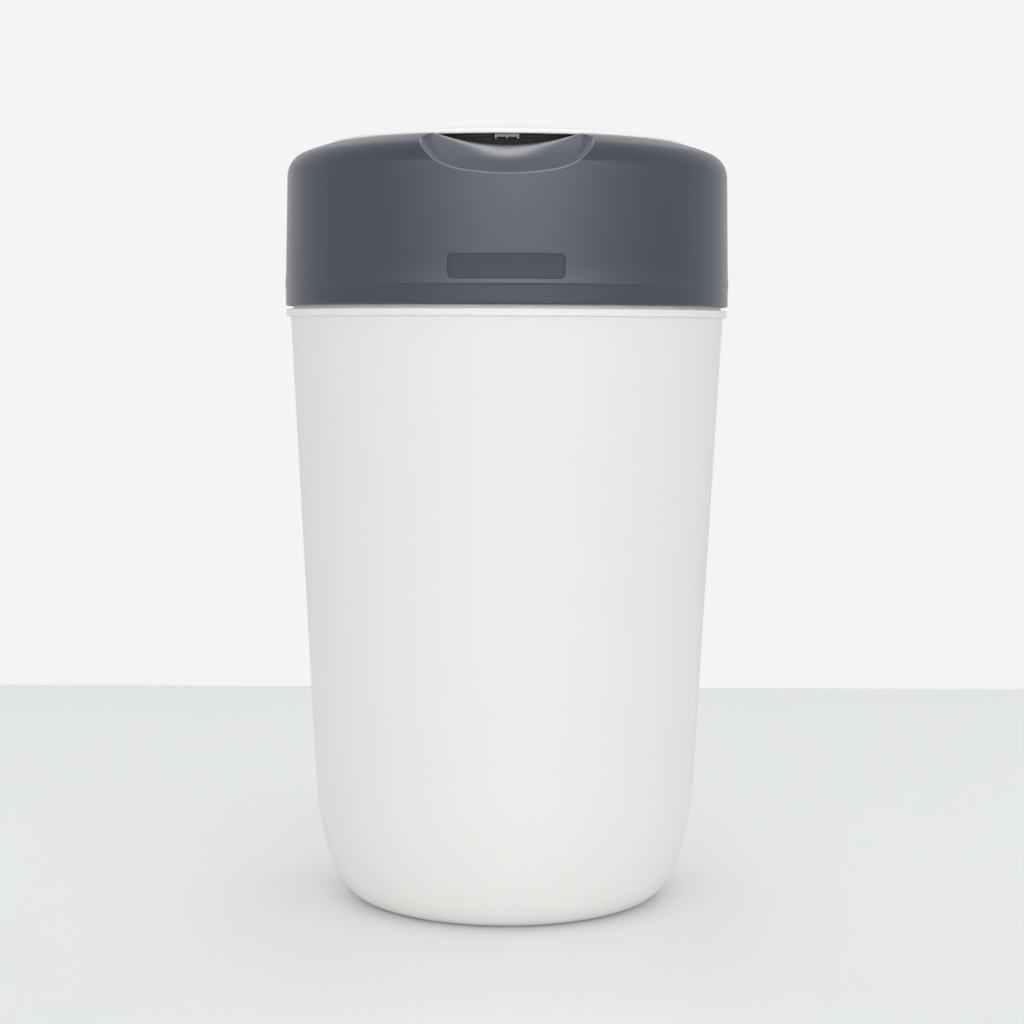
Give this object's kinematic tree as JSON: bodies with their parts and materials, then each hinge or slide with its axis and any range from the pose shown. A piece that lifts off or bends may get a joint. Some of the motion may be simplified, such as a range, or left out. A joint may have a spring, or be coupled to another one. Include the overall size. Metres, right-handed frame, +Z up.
{
  "type": "nappy bin",
  "caption": "Tapered round nappy bin with a lift-off head, hinged domed lid with a finger scoop, and a twist drum, film cassette, film grip and cutter inside.",
  "frame": {"origin": "middle of the foot ring on the floor, under the bin's axis", "axes": "+Z up along the bin's axis, -Y towards the front with the finger scoop and the badge recess, +X to the right as seen from the front"},
  "size_m": [0.2405, 0.2406, 0.4185],
  "materials": {
    "white_plastic": "satin",
    "slate_plastic": "satin",
    "black_plastic": "matte",
    "grey_plastic": "satin",
    "film": "soft, thin and slightly shiny",
    "rubber": "matte",
    "steel": "zinc plated",
    "accent_plastic": "satin"
  },
  "bodies": {
    "tub_body": {"tub": "white_plastic"},
    "head_body": {"neck_seal": "rubber", "head_cover": "slate_plastic", "well": "black_plastic", "seat_ring": "black_plastic", "cover_screws": "steel", "film_grip": "grey_plastic", "grip_screws": "steel", "pawl_pins": "steel", "hinge_pin": "steel", "cutter_rail": "grey_plastic", "rail_screws": "steel"},
    "drum_body": {"drum": "grey_plastic", "cassette_tray": "white_plastic", "cassette_core": "white_plastic", "cassette_cap": "white_plastic", "film_pack": "film"},
    "lid_body": {"lid_cover": "white_plastic", "lid_lining": "white_plastic", "lid_seal": "rubber", "lid_catch": "grey_plastic"},
    "pawl_right_body": {"pawl_right": "grey_plastic"},
    "pawl_left_body": {"pawl_left": "grey_plastic"},
    "cutter_body": {"cutter_slide": "accent_plastic", "cutter_blade": "steel"}
  },
  "joints": [
    {"name": "head_lift", "type": "slide", "parent": "tub_body", "child": "head_body", "axis": [0, 0, 1], "range_m": [0, 0.12]},
    {"name": "lid_hinge", "type": "hinge", "parent": "head_body", "child": "lid_body", "pos_m": [0, 0.0926, 0.4116], "axis": [-1, 0, 0], "range_deg": [0, 100]},
    {"name": "drum_twist", "type": "hinge", "parent": "head_body", "child": "drum_body", "pos_m": [0, 0, 0.36], "axis": [0, 0, 1], "continuous": true},
    {"name": "pawl_right_click", "type": "hinge", "parent": "head_body", "child": "pawl_right_body", "pos_m": [0.0996, -0.008, 0.35], "axis": [0, 0, -1], "range_deg": [0, 9], "stiffness_Nm_per_rad": 0.02},
    {"name": "pawl_left_click", "type": "hinge", "parent": "head_body", "child": "pawl_left_body", "pos_m": [-0.0996, 0.008, 0.35], "axis": [0, 0, -1], "range_deg": [0, 9], "stiffness_Nm_per_rad": 0.02},
    {"name": "cutter_slide_joint", "type": "slide", "parent": "head_body", "child": "cutter_body", "axis": [1, 0, 0], "range_m": [0, 0.039]}
  ]
}
